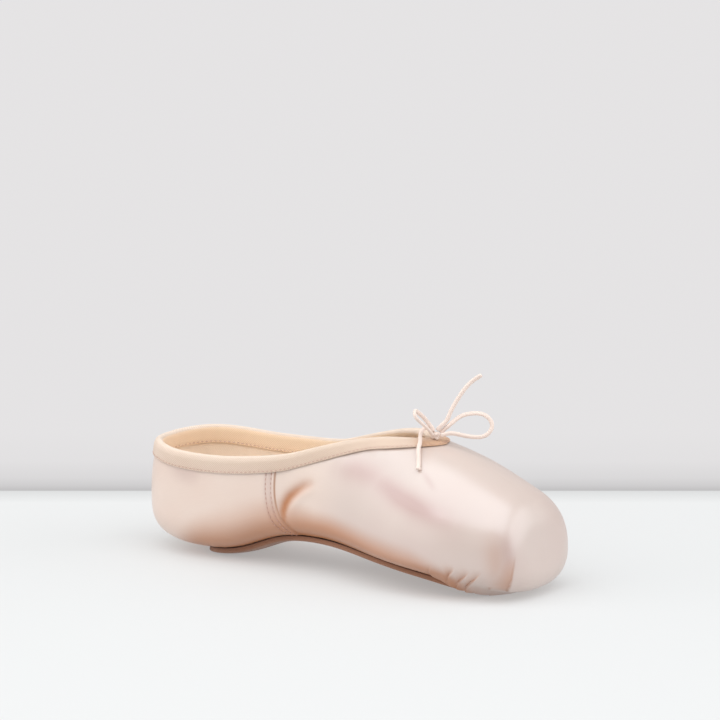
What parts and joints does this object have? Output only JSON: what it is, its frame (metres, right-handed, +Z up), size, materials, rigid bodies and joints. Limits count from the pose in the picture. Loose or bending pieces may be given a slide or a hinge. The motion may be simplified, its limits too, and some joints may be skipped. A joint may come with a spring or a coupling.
{
  "type": "pointe shoe",
  "caption": "Pink satin pointe shoe standing empty on its sole, with cotton binding, side seams, a stiff toe box and a small drawstring bow at the throat.",
  "frame": {"origin": "on the ground under the middle of the shoe, half way between the heel's back and the platform", "axes": "+X from the heel to the toe, +Y to the shoe's left, +Z up out of the foot opening"},
  "size_m": [0.2366, 0.0802, 0.1064],
  "materials": {
    "pink_satin": "glossy satin over a stiffened canvas, soft anisotropic sheen",
    "cotton_binding": "matt twill tape, stitched",
    "suede_outsole": "matt brushed leather, worn",
    "insole_lining": "matt cotton cloth over a board",
    "drawstring_cotton": "matt flat woven cord"
  },
  "bodies": {
    "root": {"upper": "pink_satin", "binding": "cotton_binding", "outsole": "suede_outsole", "insole": "insole_lining", "drawstring_knot": "drawstring_cotton", "drawstring_loop_near": "drawstring_cotton", "drawstring_loop_far": "drawstring_cotton", "drawstring_end_up": "drawstring_cotton", "drawstring_end_down": "drawstring_cotton"}
  },
  "joints": []
}
